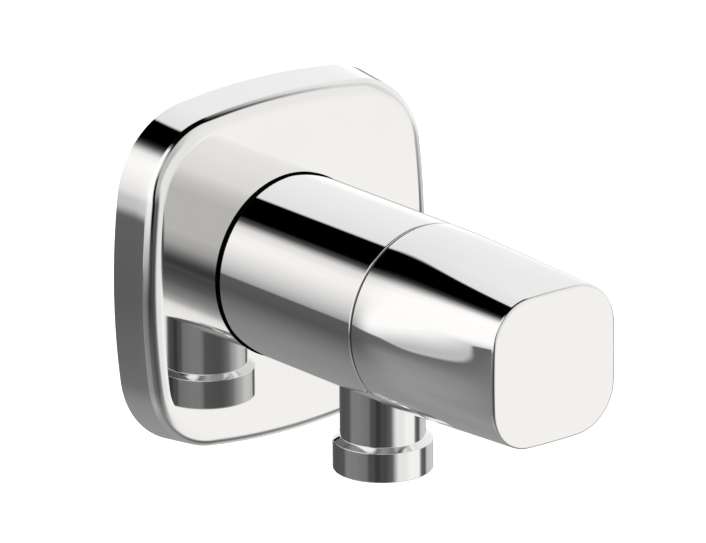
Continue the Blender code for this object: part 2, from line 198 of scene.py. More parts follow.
def rounded(outline):
    """Closed outline of (radius, distance, fillet) to points, each with its normals before and after.

    The outer side runs towards smaller distances, and a corner without a fillet stays sharp.
    """
    points = np.array([corner[:2] for corner in outline], float)
    fillets = [corner[2] if len(corner) > 2 else 0.0 for corner in outline]
    runs = np.roll(points, -1, 0) - points
    normals = np.stack([-runs[:, 1], runs[:, 0]], -1)
    normals /= np.linalg.norm(normals, axis=1, keepdims=True)
    most_turn = math.radians(12)
    made = []
    for i, (point, fillet) in enumerate(zip(points, fillets)):
        n0, n1 = normals[i - 1], normals[i]
        if fillet <= 0:
            made.append((point, n0, n1))
            continue
        turn = math.acos(max(-1.0, min(1.0, float(n0 @ n1))))
        direction = np.array([n0[1], -n0[0]])
        convex = (n0[0] * n1[1] - n0[1] * n1[0]) < 0
        side = 1 if convex else -1
        start = point - direction * fillet * math.tan(turn / 2)
        centre = start - side * n0 * fillet
        steps = max(2, math.ceil(turn / most_turn))
        for step in range(steps + 1):
            angle = -side * turn * step / steps
            c, s = math.cos(angle), math.sin(angle)
            normal = np.array([n0[0] * c - n0[1] * s, n0[0] * s + n0[1] * c])
            made.append((centre + side * normal * fillet, normal, normal))
    return made


def turned(name, outline, place=out_of_wall):
    """Ring-shaped turned piece from a closed outline."""
    spoke = spokes(ROUND)

    def swept(pair):
        radius, distance = pair
        return np.column_stack([spoke * radius, np.full(ROUND, distance)])

    rows = [Row(swept(point), swept(before), swept(after)) for point, before, after in rounded(outline)]
    return skin(name, turned_over(rows), place, loop=True)


def spokes(count):
    """Unit vectors at even angles."""
    angles = np.linspace(0, TAU, count, endpoint=False)
    return np.stack([np.cos(angles), np.sin(angles)], -1)


def soft_square(half, bulge, corner, side_steps=16, corner_steps=24):
    """Points and outward normals of a square with crowned sides and round corners."""
    side_centre = bulge - half
    reach = bulge - corner
    corner_centre = (-side_centre + math.sqrt(2 * reach * reach - side_centre * side_centre)) / 2
    turn = math.atan2(corner_centre, corner_centre + side_centre)
    side = []
    for step in range(side_steps):
        a = -turn + 2 * turn * step / side_steps
        side.append((bulge * math.cos(a) - side_centre, bulge * math.sin(a), a))
    for step in range(corner_steps):
        a = turn + (math.pi / 2 - 2 * turn) * step / corner_steps
        side.append((corner_centre + corner * math.cos(a), corner_centre + corner * math.sin(a), a))
    points, normals = [], []
    for quarter in range(4):
        angle = quarter * math.pi / 2
        c, s = round(math.cos(angle)), round(math.sin(angle))
        for x, y, a in side:
            points.append((x * c - y * s, x * s + y * c))
            normals.append((math.cos(a + angle), math.sin(a + angle)))
    return np.array(points), np.array(normals)


def at(points, along):
    """Flat points at one distance; flat normals take the distance 0."""
    return np.column_stack([points, np.full(len(points), along)])


def unit(vectors):
    """The vectors at length 1."""
    return vectors / np.linalg.norm(vectors, axis=1, keepdims=True)


def tilted(normals, forward):
    """Outline normals leaned towards the front by the given slope."""
    return unit(np.column_stack([normals, np.full(len(normals), forward)]))


def facing(count, direction):
    """Normals straight along the axis: 1 to the front, -1 to the back."""
    return np.tile(np.array([0.0, 0.0, direction]), (count, 1))


def barycentric(p, a, b, c):
    """Weights of the corners a, b and c at a point of their triangle."""
    v0, v1, v2 = b - a, c - a, p - a
    d00, d01, d11 = v0.dot(v0), v0.dot(v1), v1.dot(v1)
    d20, d21 = v2.dot(v0), v2.dot(v1)
    scale = d00 * d11 - d01 * d01
    if abs(scale) < 1e-24:
        return 1.0, 0.0, 0.0
    v = (d11 * d20 - d01 * d21) / scale
    w = (d00 * d21 - d01 * d20) / scale
    return 1 - v - w, v, w


def restore_normals(piece, source):
    """Give a cut piece the exact normals that it had before the cut; the new faces stay flat."""
    mesh = source.data
    mesh.calc_loop_triangles()
    triangles = [tuple(triangle.loops) for triangle in mesh.loop_triangles]
    corners = [[mesh.loops[loop].vertex_index for loop in triangle] for triangle in triangles]
    tree = BVHTree.FromPolygons([vertex.co for vertex in mesh.vertices], corners)
    exact = [normal.vector.copy() for normal in mesh.corner_normals]
    cut = piece.data
    step_in = 0.02
    same_way = 0.9
    found = []
    for face in cut.polygons:
        for loop in face.loop_indices:
            spot = cut.vertices[cut.loops[loop].vertex_index].co
            _, normal, index, _ = tree.find_nearest(spot.lerp(face.center, step_in))
            if abs(normal.dot(face.normal)) < same_way:
                found.append(tuple(face.normal))
                continue
            weights = barycentric(spot, *[mesh.vertices[corner].co for corner in corners[index]])
            shares = [exact[corner] * weight for corner, weight in zip(triangles[index], weights)]
            found.append(tuple(sum(shares, Vector()).normalized()))
    cut.shade_smooth()
    cut.normals_split_custom_set(found)


def drilled(piece, radius, along, near, far):
    """Drill a hole up into a piece's underside, between two distances below the valve's axis."""
    shape = bmesh.new()
    bmesh.ops.create_cone(shape, cap_ends=True, segments=SMALL_ROUND, radius1=radius * MM,
                          radius2=radius * MM, depth=(far - near) * MM)
    bmesh.ops.translate(shape, verts=shape.verts, vec=(0, -along * MM, -(far + near) / 2 * MM))
    mesh = bpy.data.meshes.new("drill")
    shape.to_mesh(mesh)
    shape.free()
    drill = linked("drill", mesh)
    source = piece.copy()
    source.data = piece.data.copy()
    cut = piece.modifiers.new("hole", "BOOLEAN")
    cut.operation = "DIFFERENCE"
    cut.solver = "EXACT"
    cut.object = drill
    depsgraph = bpy.context.evaluated_depsgraph_get()
    result = bpy.data.meshes.new_from_object(piece.evaluated_get(depsgraph))
    piece.modifiers.clear()
    piece.data = result
    restore_normals(piece, source)
    bpy.data.objects.remove(source)
    bpy.data.objects.remove(drill)
    return piece


# ---------------------------------------------------------------- pieces
def make_escutcheon():
    """Pressed shell: flat front round the barrel, crowned front edge, drafted side wall, open back."""
    base, normals = soft_square(PLATE_HALF_FRONT, PLATE_BULGE, PLATE_CORNER)
    spoke = unit(base)
    count = len(base)
    side_start = PLATE_DEPTH - PLATE_EDGE_DEPTH
    slope = PLATE_DRAFT / side_start
    lean = slope * PLATE_LEAN
    front, back = facing(count, 1.0), facing(count, -1.0)
    hole = spoke * (BODY_RADIUS + PLATE_HOLE_GAP)
    flat_edge = base - normals * PLATE_EDGE_WIDTH

    rows = [Row(at(hole, PLATE_DEPTH), front)]
    for share in (0.35, 0.7, 1.0):
        rows.append(Row(at(hole * (1 - share) + flat_edge * share, PLATE_DEPTH), front))

    steps = 14
    end_angle = math.pi / 2 - math.atan(lean)
    for step in range(1, steps + 1):
        a = end_angle * step / steps
        width = PLATE_EDGE_WIDTH * (1 - math.sin(a))
        depth = PLATE_EDGE_DEPTH * (1 - math.cos(a))
        rise = math.cos(a) / math.sin(a) * PLATE_EDGE_WIDTH / PLATE_EDGE_DEPTH
        rows.append(Row(at(base - normals * width, PLATE_DEPTH - depth), tilted(normals, rise)))
    side = tilted(normals, lean)
    rows[-1].after = side

    wall_ring, wall_along = rows[-1].points[:, :2], rows[-1].points[0, 2]
    for share in (0.33, 0.66):
        rows.append(Row(at(wall_ring + normals * PLATE_DRAFT * share, wall_along * (1 - share)), side))

    rim = 0.15
    rim_bevel = tilted(normals, -1.0)
    rear = base + normals * PLATE_DRAFT
    inner_side = tilted(-normals, -slope)
    inner_bevel = tilted(-normals, -1.0)
    inner_edge = 1.6
    inner_gap = 0.05
    ceiling = PLATE_DEPTH - PLATE_WALL
    hole_wall = at(-spoke, 0.0)
    hole_lip = 0.08
    rows += [
        Row(at(rear, rim), side, rim_bevel),
        Row(at(rear - normals * rim, 0.0), rim_bevel, back),
        Row(at(rear - normals * PLATE_WALL, 0.0), back, inner_side),
        Row(at(base - normals * (PLATE_WALL + inner_gap), side_start), inner_side, inner_bevel),
        Row(at(base - normals * (PLATE_WALL + inner_edge), ceiling), inner_bevel, back),
        Row(at(hole, ceiling), back, hole_wall),
        Row(at(hole, PLATE_DEPTH - hole_lip), hole_wall),
    ]
    return skin("escutcheon_shell", turned_over(rows), out_of_wall, loop=True)


def make_lip_seal():
    """Black lip seal: a thin collar round the barrel with a rounded lip, and a flange behind."""
    gap = 0.01
    inner = BODY_RADIUS + gap
    lip, lip_wall = PLATE_DEPTH + 0.6, 0.05
    foot, foot_wall = PLATE_DEPTH + 0.1, 0.10
    flange = inner + 1.0
    flange_front = PLATE_DEPTH - PLATE_WALL - 0.05
    flange_back = flange_front - 0.8
    outline = [
        (inner + lip_wall, lip, 0.03), (inner + foot_wall, foot), (inner + 0.36, flange_front),
        (flange, flange_front, 0.2), (flange, flange_back, 0.2), (inner, flange_back, 0.1), (inner, lip),
    ]
    return turned("lip_seal", outline)


def make_sleeve():
    """Barrel sleeve, open at both ends, with the hole for the outlet neck."""
    inner = BODY_RADIUS - SLEEVE_WALL
    near, far = SLEEVE_RINGS
    outline = [
        (BODY_RADIUS, SLEEVE_END, SLEEVE_EDGE), (BODY_RADIUS, far), (BODY_RADIUS, near),
        (BODY_RADIUS, SLEEVE_START + SLEEVE_CHAMFER), (BODY_RADIUS - SLEEVE_CHAMFER, SLEEVE_START),
        (inner, SLEEVE_START), (inner, near), (inner, far), (inner, SLEEVE_END),
    ]
    hole = NECK_RADIUS + 0.02
    return drilled(turned("barrel_sleeve", outline), hole, OUTLET_OFFSET, near=8.0, far=20.0)


def make_outlet():
    """Neck and collar, with an O-ring groove at the top and a bore for a 10 mm tube below."""
    shoulder = 14.0
    groove, groove_top = 5.4, 12.6
    tip, tip_top = 6.4, 11.3
    water_bore = 4.2
    tube_bore, tube_stop = 5.1, 17.0
    outline = [
        (COLLAR_RADIUS, OUTLET_END, 0.28), (COLLAR_RADIUS, COLLAR_TOP, 0.12),
        (NECK_RADIUS, COLLAR_TOP - COLLAR_SLOPE, 0.15), (NECK_RADIUS, shoulder),
        (groove, shoulder), (groove, groove_top), (tip, groove_top), (tip, tip_top),
        (water_bore, tip_top), (water_bore, tube_stop), (tube_bore, tube_stop, 0.1),
        (tube_bore, OUTLET_END, 0.3),
    ]
    return turned("outlet_stub", outline, down_outlet)


def make_bearing_ring():
    """Black ring in the handle's mouth, whose thin flange fills the joint."""
    flange, ring, inner = 15.57, 14.15, 13.0
    handle_gap, sleeve_gap = 0.03, 0.02
    front = HANDLE_START + JOINT_ROOM - HANDLE_LIP - handle_gap
    flange_back = SLEEVE_END + sleeve_gap
    ring_back = 41.9
    outline = [(flange, front, 0.03), (flange, flange_back, 0.03), (ring, flange_back),
               (ring, ring_back), (inner, ring_back), (inner, front)]
    return turned("joint_ring", outline)


def make_handle():
    """Handle shell: round rear end running into a soft-square end face."""
    square, square_n = soft_square(HANDLE_HALF, HANDLE_BULGE, HANDLE_CORNER)
    count = len(square)
    angles = np.arctan2(square[:, 1], square[:, 0])
    spoke = unit(square)
    around = np.stack([-spoke[:, 1], spoke[:, 0]], -1)
    square_t = np.stack([-square_n[:, 1], square_n[:, 0]], -1)
    stretch = np.linalg.norm(square, axis=1) / np.einsum("ij,ij->i", square_n, spoke)
    start = HANDLE_START + JOINT_ROOM
    length = HANDLE_END - HANDLE_EDGE - start
    ease = HANDLE_EASE
    full = 1 / (1 - ease / 3)

    def blend_row(t):
        """Row at share t of the length; the change from circle to square sets in gently."""
        if t < ease:
            share = full * (t * t / ease - t ** 3 / (3 * ease * ease))
            slope = full * (2 - t / ease) * t / ease
        else:
            share = full * (t - ease / 3)
            slope = full
        ring = spoke * BODY_RADIUS * (1 - share) + square * share
        along_ring = around * BODY_RADIUS * (1 - share) + square_t * (stretch * share)[:, None]
        forward = np.column_stack([(square - spoke * BODY_RADIUS) * slope / length, np.ones(count)])
        return Row(at(ring, start + length * t), unit(np.cross(at(along_ring, 0.0), forward)))

    radial = at(spoke, 0.0)
    back, front = facing(count, -1.0), facing(count, 1.0)
    bevel = tilted(spoke, -1.0)

    # Inside, from the square socket for the insert out to the mouth.
    socket, _ = soft_square(half=7.95, bulge=80.0, corner=2.2)
    socket_radius = np.interp(angles, np.arctan2(socket[:, 1], socket[:, 0]),
                              np.linalg.norm(socket, axis=1), period=TAU)
    socket_ring = spoke * socket_radius[:, None]
    socket_floor, chamber_floor, mouth_floor = 69.2, 56.2, 45.2
    chamber, mouth = spoke * 13.3, spoke * 14.45
    lip = start - HANDLE_LIP
    rows = [
        Row(at(socket_ring, socket_floor), back, -radial),
        Row(at(socket_ring, chamber_floor), -radial, back),
        Row(at(chamber, chamber_floor), back, -radial), Row(at(chamber, mouth_floor), -radial, back),
        Row(at(mouth, mouth_floor), back, -radial), Row(at(mouth, lip), -radial, back),
        Row(at(spoke * (BODY_RADIUS - HANDLE_LIP), lip), back, bevel),
        Row(at(spoke * BODY_RADIUS, start), bevel, radial),
    ]

    # Outside, from the round end to the end face.
    steps = 40
    rows += [blend_row(step / steps) for step in range(1, steps + 1)]
    side = rows[-1].before
    edge_steps = 6
    for step in range(1, edge_steps + 1):
        a = math.pi / 2 * step / edge_steps
        ring = square - square_n * HANDLE_EDGE * (1 - math.cos(a))
        along = HANDLE_END - HANDLE_EDGE * (1 - math.sin(a))
        rows.append(Row(at(ring, along), unit(side * math.cos(a) + front * math.sin(a))))
    rows[-1].after = front
    rows.append(Row(at(square * 0.6, HANDLE_END), front))
    handle = skin("handle_cover", rows, out_of_wall, capped=True)
    screw_hole = 2.3
    return drilled(handle, screw_hole, SCREW_PLACE, near=3.0, far=18.0)


def make_valve_body():
    """Brass body: machined barrel, two spanner flats and the threaded inlet spigot."""
    facets = 128
    spoke = spokes(facets)
    turns = np.arange(facets) / facets
    radial = at(spoke, 0.0)
    inward = -radial
    front, back = facing(facets, 1.0), facing(facets, -1.0)
    bevel, rear_bevel = tilted(spoke, 1.0), tilted(spoke, -1.0)

    def ring(radius, along):
        return at(spoke * np.reshape(radius, (-1, 1)), along)

    def thread_radius(along):
        """Radius of the threaded spigot at one distance from the wall, at every angle."""
        run_out = 1.2
        crest, flank = 1.25, 3.4
        phase = ((along - INLET_END) / THREAD_PITCH - turns) % 1.0
        ridge = np.clip(crest - np.abs(phase - 0.5) * flank, 0.0, 1.0)
        fade = np.clip(min(along - INLET_END, THREAD_RUN_OUT - along) / run_out, 0.0, 1.0)
        return THREAD_MINOR + (THREAD_MAJOR - THREAD_MINOR) * ridge * fade

    def thread_row(along):
        small = 0.02
        slope = (thread_radius(along + small) - thread_radius(along - small)) / (2 * small)
        return Row(ring(thread_radius(along), along), tilted(spoke, -slope))

    edge = 0.3
    neck, neck_end, flats_start, flats_end = 13.0, 5.5, 0.5, 5.0
    flat_rear = ring(neck, flats_start)
    on_flat = np.abs(flat_rear[:, 0]) > SPANNER_HALF
    sideways = at(np.column_stack([np.sign(spoke[:, 0]), np.zeros(facets)]), 0.0)
    flat_normal = np.where(on_flat[:, None], sideways, radial)
    flat_rear[:, 0] = np.clip(flat_rear[:, 0], -SPANNER_HALF, SPANNER_HALF)
    flat_top = at(flat_rear[:, :2], flats_end)
    rows = [
        Row(ring(BRASS_RADIUS - edge, BRASS_END), front, bevel),
        Row(ring(BRASS_RADIUS, BRASS_END - edge), bevel, radial),
        Row(ring(BRASS_RADIUS, neck_end), radial, back), Row(ring(neck, neck_end), back, radial),
        Row(ring(neck, flats_end), radial, back), Row(flat_top, back, flat_normal),
        Row(flat_rear, flat_normal, back), Row(ring(THREAD_MINOR, flats_start), back, radial),
    ]

    steps = 150
    spigot_start, spigot_end, spigot_bevel = 0.3, INLET_END + 0.8, 0.8
    spigot_length = spigot_end - spigot_start
    rows += [thread_row(spigot_start + spigot_length * step / steps) for step in range(steps + 1)]
    rows[-1].after = rear_bevel

    bore, bore_bevel, bore_end = 6.5, 0.4, 14.0
    seat, seat_end = 5.0, 17.5
    chamber, chamber_end = 9.1, 35.5
    socket = THREAD_MAJOR + 0.3
    rows += [
        Row(ring(THREAD_MINOR - spigot_bevel, INLET_END), rear_bevel, back),
        Row(ring(bore + bore_bevel, INLET_END), back, -bevel),
        Row(ring(bore, INLET_END + bore_bevel), -bevel, inward),
        Row(ring(bore, bore_end), inward, back), Row(ring(seat, bore_end), back, inward),
        Row(ring(seat, seat_end), inward, front), Row(ring(chamber, seat_end), front, inward),
        Row(ring(chamber, chamber_end), inward, front), Row(ring(socket, chamber_end), front, inward),
        Row(ring(socket, BRASS_END), inward, front),
    ]
    body = skin("brass_body", turned_over(rows), out_of_wall, loop=True)
    outlet_hole = 6.7
    return drilled(body, outlet_hole, OUTLET_OFFSET, near=7.0, far=18.0)


def make_inlet_seal():
    """Sealing ring round the spigot, behind the body's flats."""
    inner, rim, edge = 9.65, 11.2, 11.9
    outline = [(rim, 0.2, 0.15), (edge, -0.5, 0.3), (rim, -3.0, 0.25), (inner, -3.2, 0.1), (inner, 0.2, 0.1)]
    return turned("inlet_seal", outline)


def make_foam():
    """Foam frame behind the plate's rim, with softened edges."""
    plate_gap = 0.5
    outer_half = PLATE_HALF_REAR - PLATE_WALL - plate_gap
    inner_half = PLATE_HALF_REAR - 5.0
    outer, outer_n = soft_square(outer_half, PLATE_BULGE, PLATE_CORNER - 1.5)
    inner, inner_n = soft_square(inner_half, PLATE_BULGE, PLATE_CORNER - 4.5)
    soften = 0.3
    rear, front = 0.1, 2.1
    corners = [(outer, outer_n, rear, -1), (outer, outer_n, front, 1),
               (inner, -inner_n, front, 1), (inner, -inner_n, rear, -1)]
    rows = []
    for number, (ring, normals, along, end) in enumerate(corners):
        on_side = Row(at(ring, along - end * soften), at(normals, 0.0))
        on_end = Row(at(ring - normals * soften, along), facing(len(ring), float(end)))
        side_first = number % 2 == 1
        rows += [on_side, on_end] if side_first else [on_end, on_side]
    return skin("foam_frame", rows, out_of_wall, loop=True)


def make_grub_screw():
    """Set screw with a hexagon key socket, standing up through the handle's underside."""
    facets = 72
    spoke = spokes(facets)
    sixth = TAU / 6
    key_corner = 1.16
    within = (np.arange(facets) / facets * TAU) % sixth - sixth / 2
    key = spoke * (key_corner * math.cos(sixth / 2) / np.cos(within))[:, None]
    key_top, key_edge, end, tip = 10.4, 12.25, 12.4, 4.5
    radius, face, tip_face = 2.0, 1.75, 1.6
    radial = at(spoke, 0.0)
    front, back = facing(facets, 1.0), facing(facets, -1.0)
    bevel, tip_bevel = tilted(spoke, 1.0), tilted(spoke, -1.0)
    rows = [
        Row(at(key, key_top), front, -radial), Row(at(key, key_edge), -radial, -tip_bevel),
        Row(at(key * 1.1, end), -tip_bevel, front), Row(at(spoke * face, end), front, bevel),
        Row(at(spoke * radius, end - 0.25), bevel, radial),
        Row(at(spoke * radius, tip + 0.4), radial, tip_bevel),
        Row(at(spoke * tip_face, tip), tip_bevel, back),
    ]
    return skin("set_screw", turned_over(rows), down_screw, capped=True)


# ---------------------------------------------------------------- shader helpers
def linear(shown):
    """Light that shows on the screen with the given brightness when it is seen in the chrome."""
    chrome_share = 0.94
    value = shown / 12.92 if shown <= 0.04045 else ((shown + 0.055) / 1.055) ** 2.4
    return value / chrome_share


def tint(shown, warmth=0.0):
    """Light for a brightness on the screen; the warmth lowers its blue, and half of it its green."""
    value = linear(shown)
    return (value, value * (1 - warmth * 0.5), value * (1 - warmth))


def colour(value):
    """Four channels from one grey number or three channels."""
    if isinstance(value, (int, float)):
        return (value, value, value, 1.0)
    return (*value, 1.0)


class Graph:
    """Short way to wire shader nodes."""

    def __init__(self, tree):
        self.tree = tree

    def node(self, kind, settings=None, **inputs):
        made = self.tree.nodes.new(kind)
        for key, value in (settings or {}).items():
            setattr(made, key, value)
        for key, value in inputs.items():
            self.feed(made.inputs[key.replace("_", " ")], value)
        return made

    def feed(self, socket, value):
        if isinstance(value, bpy.types.NodeSocket):
            self.tree.links.new(value, socket)
        else:
            socket.default_value = value

    def math(self, operation, a, b=0.0, c=0.0):
        made = self.tree.nodes.new("ShaderNodeMath")
        made.operation = operation
        for socket, value in zip(made.inputs, (a, b, c)):
            self.feed(socket, value)
        return made.outputs[0]

    def plus(self, a, b):
        return self.math("ADD", a, b)

    def minus(self, a, b):
        return self.math("SUBTRACT", a, b)

    def times(self, a, b):
        return self.math("MULTIPLY", a, b)

    def times_plus(self, a, b, c):
        return self.math("MULTIPLY_ADD", a, b, c)

    def clamped(self, value, low, high):
        return self.math("MINIMUM", self.math("MAXIMUM", value, low), high)

    def fade(self, value, ends):
        """Soft step from 0 at the first end to 1 at the second."""
        made = self.node("ShaderNodeMapRange", {"interpolation_type": "SMOOTHSTEP"}, Value=value,
                         From_Min=ends[0], From_Max=ends[1])
        return made.outputs["Result"]

    def blend(self, share, a, b, mode="MIX"):
        made = self.node("ShaderNodeMix", {"data_type": "RGBA", "blend_type": mode})
        self.feed(made.inputs[0], share)
        self.feed(made.inputs[6], a)
        self.feed(made.inputs[7], b)
        return made.outputs[2]

    def ramp(self, factor, stops):
        made = self.tree.nodes.new("ShaderNodeValToRGB")
        self.feed(made.inputs["Fac"], factor)
        points = made.color_ramp.elements
        while len(points) > 1:
            points.remove(points[-1])
        points[0].position = stops[0][0]
        points[0].color = colour(stops[0][1])
        for position, value in stops[1:]:
            points.new(position).color = colour(value)
        return made.outputs["Color"]


def new_material(name):
    material = bpy.data.materials.new(name)
    material.use_nodes = True
    return material, Graph(material.node_tree), material.node_tree.nodes["Principled BSDF"]


# ---------------------------------------------------------------- materials
GRAIN_RANGE = (0.3, 0.7)       # most of a noise texture's values lie in it


def noise(graph, scale, detail):
    where = graph.node("ShaderNodeTexCoord").outputs["Object"]
    return graph.node("ShaderNodeTexNoise", Vector=where, Scale=scale, Detail=detail).outputs["Fac"]


def grain_finish(graph, shader, grain, dark, light, smoothest, roughest):
    """Tone and roughness that follow one grain."""
    low, high = GRAIN_RANGE
    graph.feed(shader.inputs["Base Color"], graph.ramp(grain, [(low, dark), (high, light)]))
    rough = graph.node("ShaderNodeMapRange", Value=grain, From_Min=low, From_Max=high,
                       To_Min=smoothest, To_Max=roughest)
    graph.feed(shader.inputs["Roughness"], rough.outputs["Result"])


def make_chrome():
    """Polished chrome: a mirror with the faintest haze and ripple of plated brass."""
    material, g, shader = new_material("polished_chrome")
    haze = noise(g, 60.0, 4.0)
    grain_finish(g, shader, haze, (0.93, 0.93, 0.925), (0.95, 0.95, 0.945), 0.02, 0.035)
    shader.inputs["Metallic"].default_value = 1.0
    relief = g.node("ShaderNodeBump", Height=noise(g, 220.0, 2.0), Strength=0.5, Distance=0.0015 * MM)
    g.feed(shader.inputs["Normal"], relief.outputs["Normal"])
    return material


def grained(name, dark, light, roughness, scale, relief, metallic=0.0, specular=0.5):
    """Procedural finish: tone, roughness and relief, in millimetres, all follow one grain."""
    material, g, shader = new_material(name)
    grain = noise(g, scale, 6.0)
    grain_finish(g, shader, grain, dark, light, roughness * 0.8, roughness * 1.2)
    shader.inputs["Metallic"].default_value = metallic
    shader.inputs["Specular IOR Level"].default_value = specular
    bump = g.node("ShaderNodeBump", Height=grain, Strength=0.3, Distance=relief * MM)
    g.feed(shader.inputs["Normal"], bump.outputs["Normal"])
    return material


def make_materials():
    """One material for each material slot of the record."""
    return {
        "chrome": make_chrome(),
        "black_rubber": grained("black_rubber", (0.0005, 0.0005, 0.0005), (0.0015, 0.0015, 0.0015),
                                roughness=0.8, scale=900.0, relief=0.02, specular=0.0),
        "brass": grained("machined_brass", (0.74, 0.54, 0.28), (0.80, 0.60, 0.33),
                         roughness=0.24, scale=700.0, relief=0.003, metallic=1.0),
        "ceramic": grained("alumina_ceramic", (0.82, 0.81, 0.76), (0.88, 0.87, 0.83),
                           roughness=0.22, scale=1500.0, relief=0.003),
        "black_plastic": grained("black_acetal", (0.010, 0.010, 0.010), (0.020, 0.020, 0.020),
                                 roughness=0.4, scale=1200.0, relief=0.01),
        "white_plastic": grained("white_acetal", (0.74, 0.74, 0.71), (0.80, 0.80, 0.77),
                                 roughness=0.4, scale=1200.0, relief=0.01),
        "foam": grained("grey_foam", (0.09, 0.09, 0.095), (0.16, 0.16, 0.165),
                        roughness=0.9, scale=2500.0, relief=0.15),
        "stainless_steel": grained("stainless_steel", (0.52, 0.52, 0.53), (0.62, 0.62, 0.63),
                                   roughness=0.3, scale=900.0, relief=0.01, metallic=1.0),
    }


# ---------------------------------------------------------------- studio
# What the chrome reflects: rows of angle, brightness on the screen, and warmth where the light has any.
# The angle turns about the valve's axis, 0 to the right, 90 up and 180 to the left, except in BEHIND_BELOW.
AXIS_START = -50.0
# Softboxes and a black flag on the wall's side, at the end nearest to the wall.
BEHIND_ABOVE = [
    (-50, 0.60), (-44, 0.62), (-36, 0.80), (-28, 0.86), (-18, 0.93), (-5, 0.99), (4, 1.0), (12, 0.97),
    (20, 0.93), (60, 0.91), (87.3, 0.88), (88.6, 0.0), (118, 0.0), (124, 0.30), (132, 0.86, 0.03),
    (142, 0.95, 0.04), (150, 0.96, 0.04), (160, 0.92, 0.03), (170, 0.86, 0.02), (182, 0.76), (191, 0.64),
    (196, 0.45), (230, 0.40), (300, 0.60),
]
# The same, further from the wall.
BEHIND_NEAR = [
    (-50, 0.60), (-44, 0.62), (-36, 0.80), (-28, 0.88), (-18, 0.95), (-5, 0.96), (4, 0.94), (20, 0.93),
    (60, 0.905), (85.5, 0.88), (87.2, 0.0), (115, 0.0), (121, 0.22), (126, 0.60), (130, 0.82, 0.03),
    (134, 0.97, 0.03), (142, 1.0, 0.02), (182, 0.99, 0.02), (188, 0.94), (193, 0.86), (200, 0.73),
]
# The same, beside and above the object.
BEHIND_FAR = [
    (-50, 0.60), (-36, 0.80), (-24, 0.97), (-5, 0.96), (4, 0.93), (45, 0.90), (53, 0.84), (60, 0.66),
    (64.5, 0.26), (70, 0.02), (113, 0.02), (118, 0.5), (122, 0.95), (140, 1.0), (180, 0.98), (187, 0.93),
]
# Under the softboxes; the angle turns about the plumb line, 0 to the wall, 90 right and 180 to the front.
BEHIND_BELOW = [
    (0, 0.30), (11, 0.34), (21, 0.40), (29, 0.45), (36, 0.56), (41, 0.60), (51, 0.66), (61, 0.74),
    (71, 0.78), (81, 0.77), (91, 0.74), (105, 0.80), (126, 0.90), (180, 0.90), (187, 0.50),
    (192, 0.46), (201, 0.36), (206, 0.29), (251, 0.29), (256, 0.42), (262, 0.44), (288, 0.48),
    (298, 0.47), (308, 0.40), (314, 0.38), (322, 0.32), (352, 0.30),
]
# Cards in front of the object.
IN_FRONT = [
    (-50, 0.95, 0.04), (-28, 0.95, 0.04), (-13, 0.94, 0.04), (3, 0.93, 0.04), (19, 0.92, 0.04),
    (51, 0.91, 0.04), (84, 0.88, 0.04), (100, 0.79, 0.05), (116, 0.73, 0.05), (164, 0.73, 0.05),
    (180, 0.63, 0.04), (188, 0.48), (197, 0.35), (213, 0.28), (229, 0.36), (239, 0.46), (247, 0.52),
    (258, 0.66), (268, 0.88, 0.04), (277, 0.93, 0.04), (295, 0.94, 0.04),
]
# The gap between the softboxes and the cards, which darkens both.
GAP = [
    (-50, 0.52), (-36, 0.62), (-25, 0.50), (-20.5, 0.38), (-19, 0.40), (-17.5, 0.72), (-14, 0.74),
    (-8, 0.90), (45, 0.90), (60, 0.5), (66, 0.05), (112, 0.0), (120, 0.25), (128, 0.60), (140, 0.76),
    (150, 0.62), (158, 0.25), (166, 0.05), (192, 0.06), (203, 0.60), (209, 0.92), (270, 0.80),
    (290, 0.62),
]

# Where one light gives way to the next, which has set in fully at the second number.  Measured on the
# direction's x (right), y (to the wall) or z (up), as each name says.
NEAR_Y = (0.735, 0.67)
FAR_Y = (0.56, 0.42)
FOOT_Z = (-0.165, -0.14)       # lower edge of the softboxes
SOFT_FOOT_Z = (-0.34, -0.08)   # the same, further from the wall
SOFT_FOOT_Y = (0.55, 0.40)
STRAIGHT_DOWN_Z = (-0.70, -0.90)
MIDDLE_CARD_Y = (-0.84, -0.92)
MIDDLE_CARD_LEFT = (-0.58, -0.24)   # on x plus 0.8 of z
# The same, on the value of front_border().
FRONT = (0.03, -0.03)
GAP_BACK = (0.32, 0.12)
GAP_FRONT = (-0.12, -0.02)


class Sky(Graph):
    """Shader graph of the world, with the direction taken apart."""

    def __init__(self, tree):
        super().__init__(tree)
        direction = self.node("ShaderNodeTexCoord").outputs["Generated"]
        parts = self.node("ShaderNodeSeparateXYZ", Vector=direction).outputs
        self.x, self.y, self.z = parts["X"], parts["Y"], parts["Z"]
        self.axis_angle = self.turn(self.z, self.x)
        self.axis_share = self.share(self.axis_angle, AXIS_START)
        self.plumb_share = self.share(self.turn(self.x, self.y), 0.0)

    def turn(self, opposite, adjacent):
        """Angle in degrees."""
        return self.times(self.math("ARCTAN2", opposite, adjacent), 180 / math.pi)

    def share(self, angle, start):
        """Share of a full turn that an angle lies past the start."""
        wrapped = self.math("WRAP", angle, start + 360.0, start)
        return self.math("DIVIDE", self.minus(wrapped, start), 360.0)

    def band(self, share, stops, start=AXIS_START):
        """Light by angle."""
        return self.ramp(share, [((angle - start) / 360.0, tint(*light)) for angle, *light in stops])


